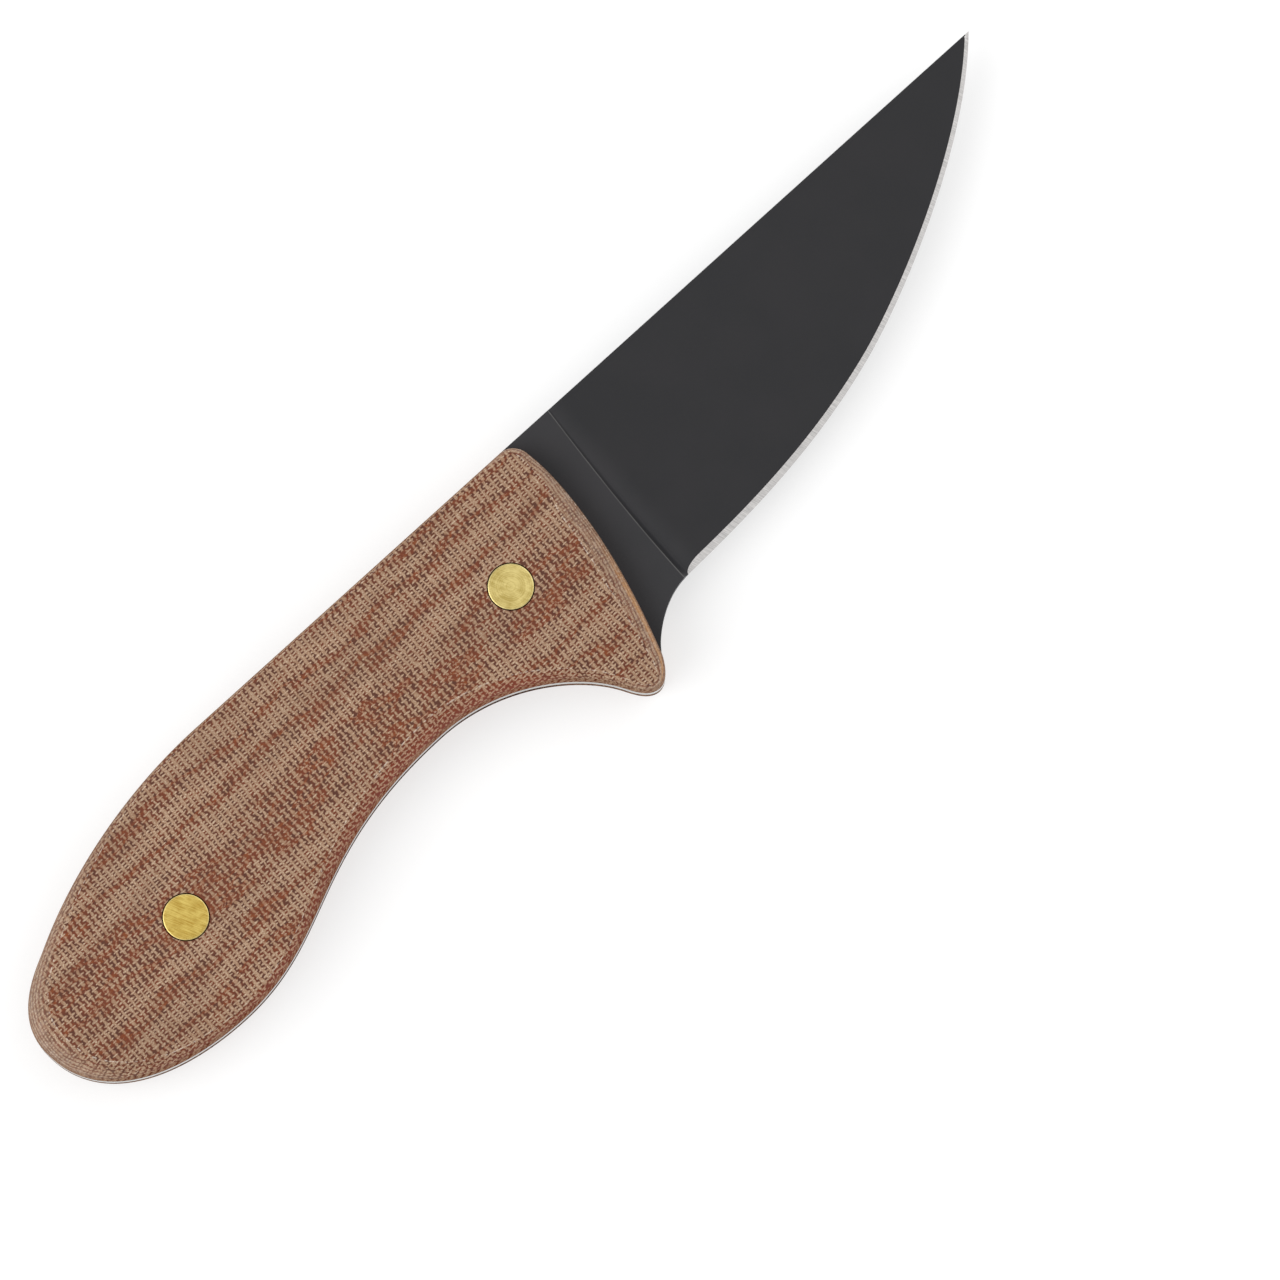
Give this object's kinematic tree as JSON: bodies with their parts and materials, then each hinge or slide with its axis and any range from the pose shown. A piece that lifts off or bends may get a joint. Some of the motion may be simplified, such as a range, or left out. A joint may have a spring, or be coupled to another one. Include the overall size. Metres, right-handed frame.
{
  "type": "whittling knife",
  "caption": "Fixed-blade whittling knife with a straight spine, an upswept edge, a full tang and canvas-micarta handle scales held by flush brass bolts.",
  "frame": {"origin": "middle of the knife's footprint, at the outer face of the left scale that the knife lies on", "axes": "+X along the straight spine towards the tip, +Y from the cutting edge towards the spine, +Z out of the right side of the knife"},
  "size_m": [0.1872, 0.0384, 0.0173],
  "materials": {
    "black_coated_steel": "matte black coating, with a bare satin ground edge bevel and a bare bright tang edge",
    "canvas_micarta": "sanded tan and rust-brown canvas laminate with the weave showing",
    "brass": "turned and sanded flush"
  },
  "bodies": {
    "root": {"blade_and_tang": "black_coated_steel", "right_scale": "canvas_micarta", "left_scale": "canvas_micarta", "front_bolt_stud": "brass", "front_bolt_barrel": "brass", "rear_bolt_stud": "brass", "rear_bolt_barrel": "brass"}
  },
  "joints": []
}
